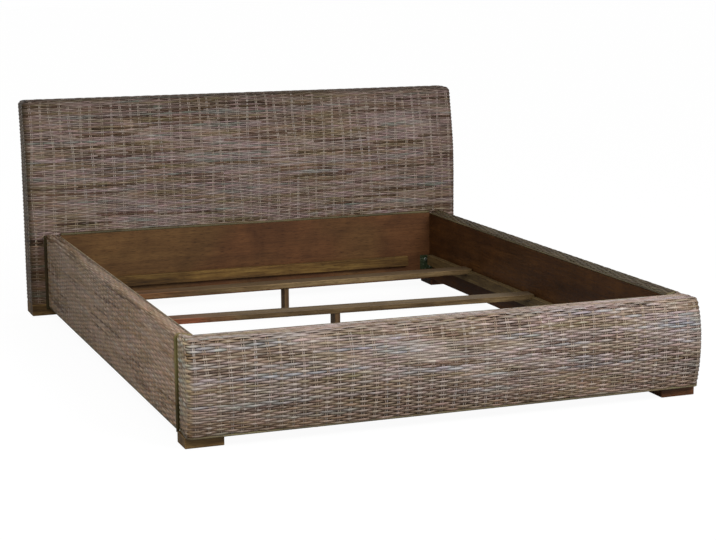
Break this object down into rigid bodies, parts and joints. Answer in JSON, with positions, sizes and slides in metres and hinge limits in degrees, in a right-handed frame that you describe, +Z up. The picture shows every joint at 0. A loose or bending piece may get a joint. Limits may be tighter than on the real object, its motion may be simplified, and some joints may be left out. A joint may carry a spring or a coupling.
{
  "type": "bed frame",
  "caption": "Low double bed frame with a woven headboard that leans back, a woven footboard with a rounded front, woven side rails, and cross slats on ledgers inside",
  "frame": {"origin": "on the floor under the middle of the bed's overall box", "axes": "+Z up; +X across the bed to the right of someone standing at the foot end and looking at the headboard; +Y from the footboard to the headboard"},
  "size_m": [1.858, 2.3245, 0.862],
  "materials": {
    "weave": "natural grey-brown rattan strands, matt, woven in fine rows",
    "cane": "round cane trim, greenish brown, matt",
    "board": "dark reddish brown stained wood, satin",
    "slat": "mid brown planed wood, matt",
    "foot": "dark brown stained wood, matt",
    "steel": "plated steel with a dark greenish cast"
  },
  "bodies": {
    "root": {"bracket_bolt_foot_left": "steel", "bracket_bolt_foot_right": "steel", "bracket_bolt_head_left": "steel", "bracket_bolt_head_right": "steel", "bracket_foot_left": "steel", "bracket_foot_right": "steel", "bracket_head_left": "steel", "bracket_head_right": "steel", "bracket_screw_foot_left": "steel", "bracket_screw_foot_right": "steel", "bracket_screw_head_left": "steel", "bracket_screw_head_right": "steel", "cross_slat_foot": "slat", "cross_slat_head": "slat", "cross_slat_middle": "slat", "footboard_bottom_batten": "board", "footboard_bottom_trim": "cane", "footboard_foot_left": "foot", "footboard_foot_right": "foot", "footboard_former_left": "board", "footboard_former_right": "board", "footboard_inner_board": "board", "footboard_ledger": "slat", "footboard_top_batten": "board", "footboard_top_trim": "cane", "footboard_weave": "weave", "headboard_bottom_rail": "board", "headboard_foot_left": "foot", "headboard_foot_right": "foot", "headboard_inner_board": "board", "headboard_ledger": "slat", "headboard_middle_rail": "board", "headboard_post_left": "board", "headboard_post_right": "board", "headboard_stud": "board", "headboard_top_rail": "board", "headboard_trim": "cane", "headboard_weave": "weave", "left_rail_board": "board", "left_rail_bottom_batten": "board", "left_rail_bottom_trim": "cane", "left_rail_foot_binding": "cane", "left_rail_head_binding": "cane", "left_rail_ledger": "slat", "left_rail_top_batten": "board", "left_rail_top_trim": "cane", "left_rail_weave": "weave", "right_rail_board": "board", "right_rail_bottom_batten": "board", "right_rail_bottom_trim": "cane", "right_rail_foot_binding": "cane", "right_rail_head_binding": "cane", "right_rail_ledger": "slat", "right_rail_top_batten": "board", "right_rail_top_trim": "cane", "right_rail_weave": "weave", "slat_leg_foot": "slat", "slat_leg_head": "slat", "slat_leg_middle": "slat"}
  },
  "joints": []
}
